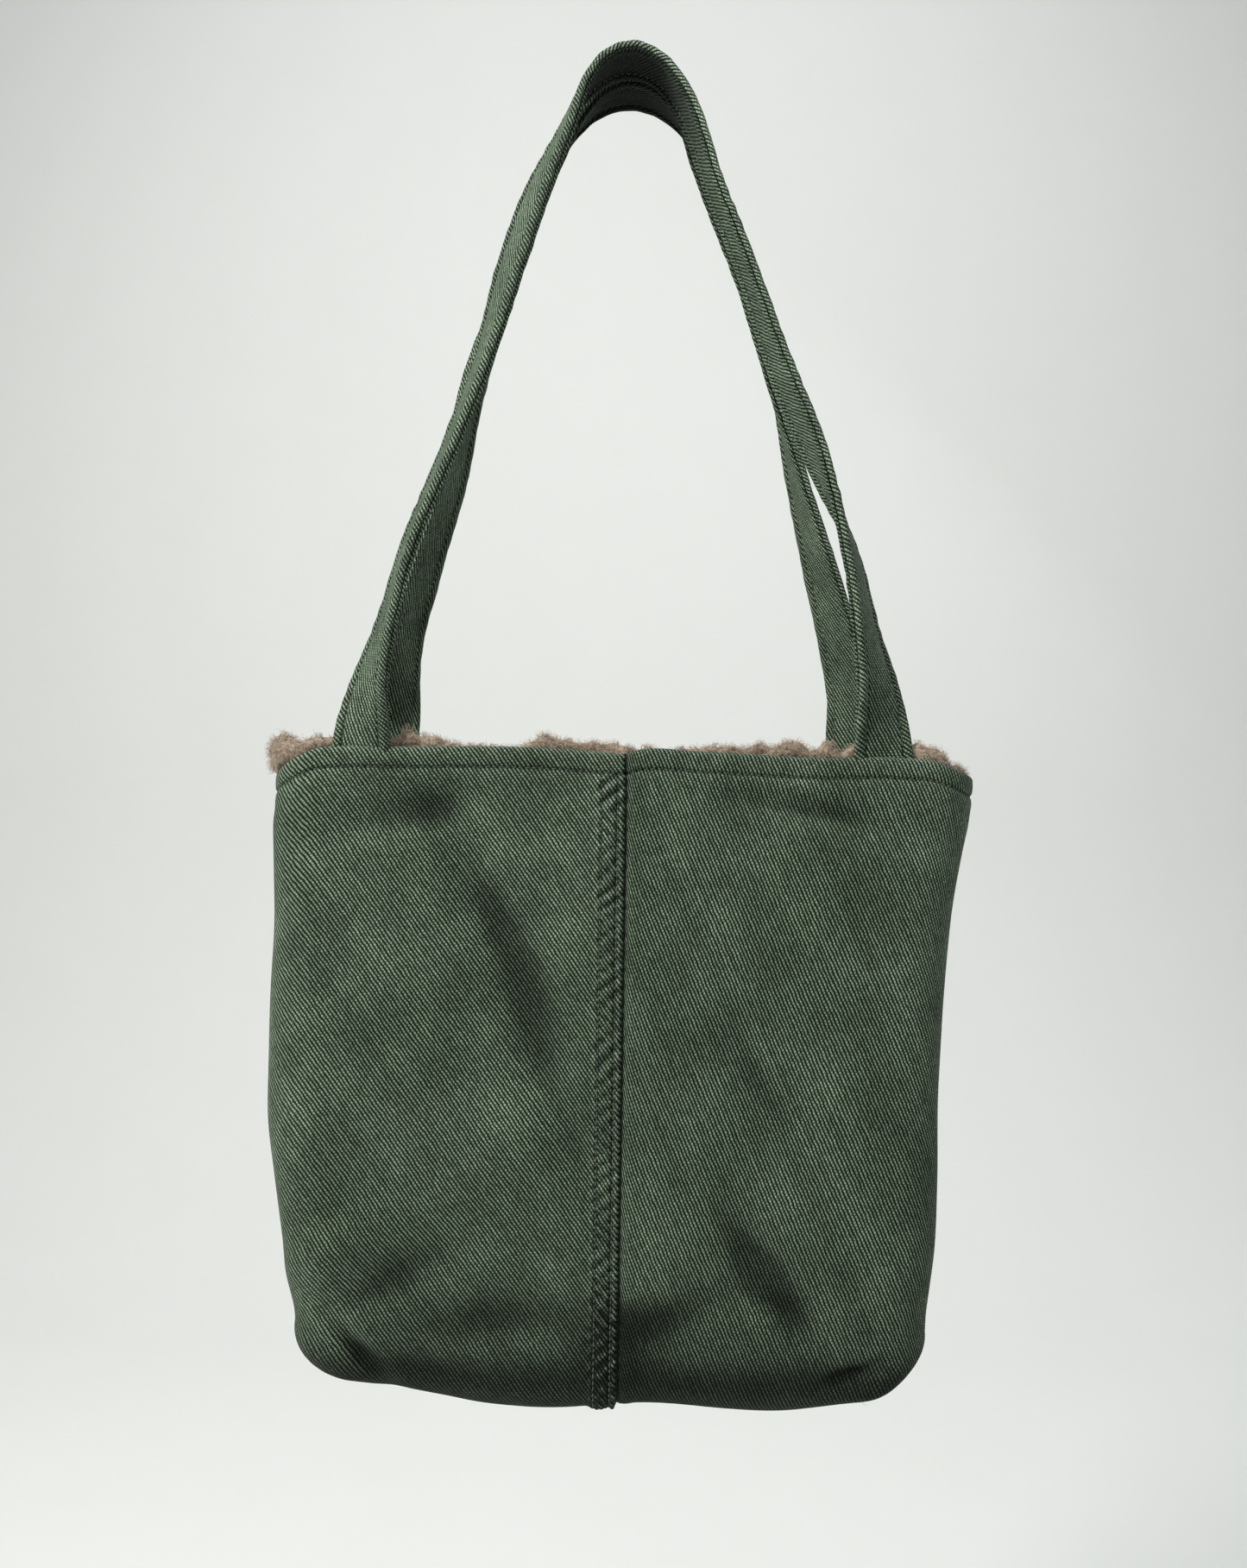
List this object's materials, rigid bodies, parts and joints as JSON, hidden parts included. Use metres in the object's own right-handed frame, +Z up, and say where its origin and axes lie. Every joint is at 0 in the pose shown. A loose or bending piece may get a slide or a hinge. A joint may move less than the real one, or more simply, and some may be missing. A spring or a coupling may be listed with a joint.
{
  "type": "lined canvas tote bag",
  "caption": "Soft twill tote bag with a curly pile lining and long shoulder straps that swing at the rim.",
  "frame": {"origin": "where a hook carries the bag: on the underside of the strap arches, midway between the two straps", "axes": "+Z up, +X towards the right side of the bag seen from its front, +Y towards its back"},
  "size_m": [0.3537, 0.0982, 0.6791],
  "materials": {
    "twill": "matte",
    "pile": "matte",
    "thread": "satin"
  },
  "bodies": {
    "bag": {"outer_front_left": "twill", "outer_front_right": "twill", "outer_back_left": "twill", "outer_back_right": "twill", "front_seam_fold": "twill", "back_seam_fold": "twill", "lining_front": "pile", "lining_back": "pile", "front_strap_end_left": "twill", "front_strap_end_right": "twill", "back_strap_end_left": "twill", "back_strap_end_right": "twill", "rim_topstitch": "thread", "front_seam_topstitch": "thread", "back_seam_topstitch": "thread"},
    "front_strap": {"front_strap": "twill", "front_strap_topstitch": "thread"},
    "back_strap": {"back_strap": "twill", "back_strap_topstitch": "thread"}
  },
  "joints": [
    {"name": "front_strap_swing", "type": "hinge", "parent": "bag", "child": "front_strap", "pos_m": [0, -0.042, -0.347], "axis": [1, 0, 0], "range_deg": [0, 170]},
    {"name": "back_strap_swing", "type": "hinge", "parent": "bag", "child": "back_strap", "pos_m": [0, 0.042, -0.347], "axis": [-1, 0, 0], "range_deg": [0, 170]}
  ]
}
